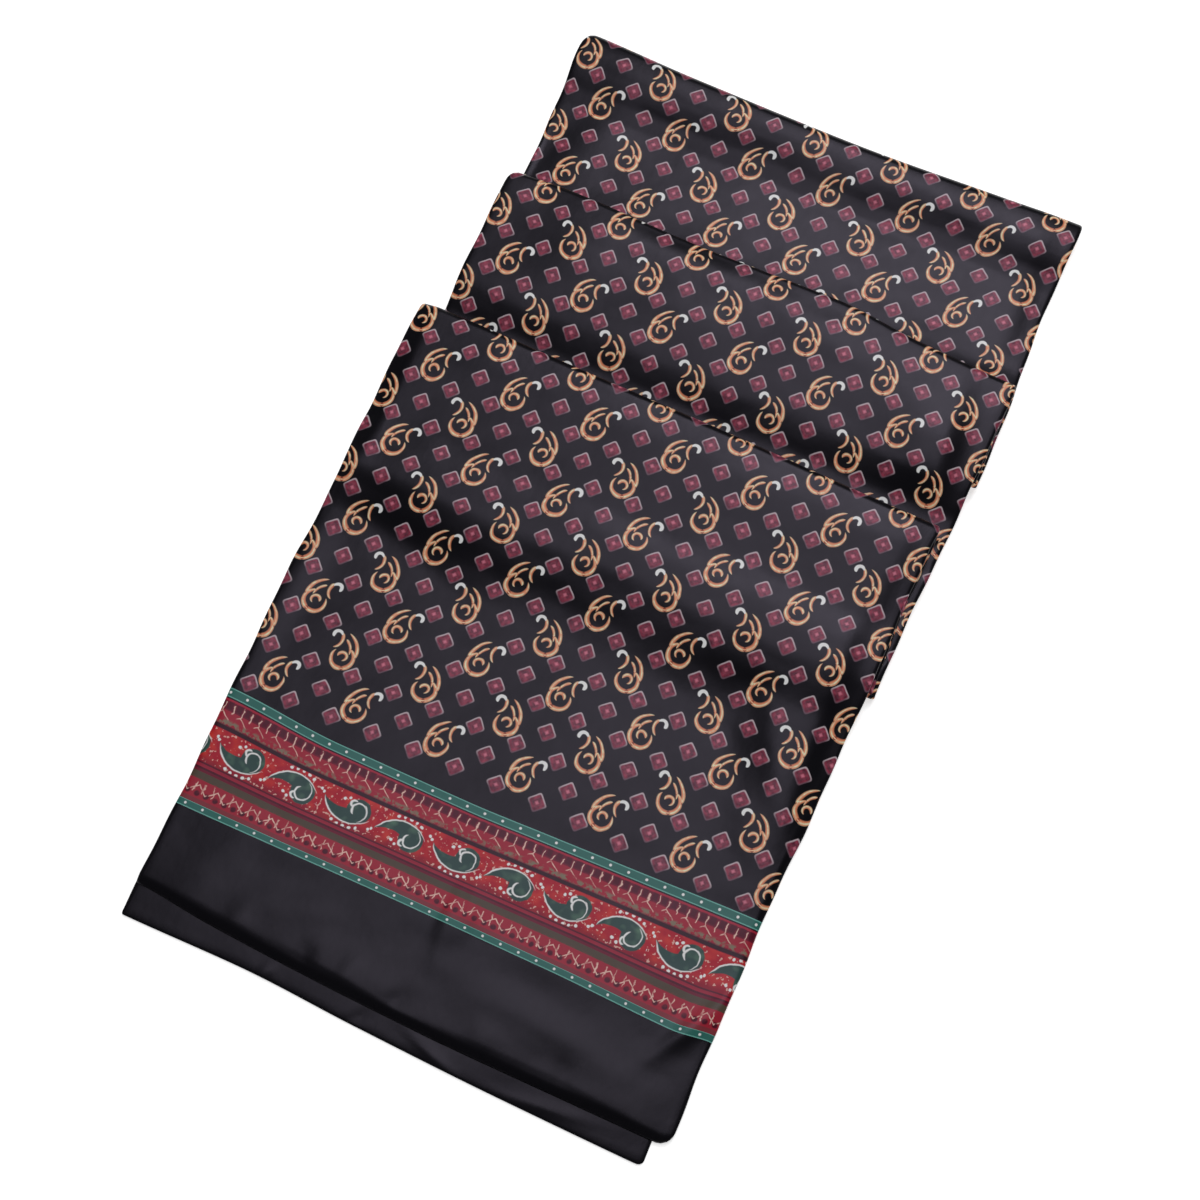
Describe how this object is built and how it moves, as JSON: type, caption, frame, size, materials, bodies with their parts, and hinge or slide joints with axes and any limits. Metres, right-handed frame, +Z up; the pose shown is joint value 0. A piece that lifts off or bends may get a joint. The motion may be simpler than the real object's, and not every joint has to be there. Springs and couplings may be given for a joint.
{
  "type": "silk scarf",
  "caption": "Long doubled silk satin scarf with a printed ground, a red border and a plain dark end, folded in flat pleats and lying on a surface.",
  "frame": {"origin": "on the surface it lies on, under the middle of the folded scarf's outline", "axes": "+X across the scarf, +Y along it from the plain end to the top fold, +Z up"},
  "size_m": [0.3145, 0.559, 0.0184],
  "materials": {
    "printed_silk": "soft satin with a small dull red and copper print and a red border",
    "plain_silk": "plain blue-black satin"
  },
  "bodies": {
    "root": {"front_stretch": "printed_silk", "middle_stretch": "printed_silk", "back_stretch": "printed_silk", "under_stretch": "plain_silk", "hidden_layers": "printed_silk"}
  },
  "joints": []
}
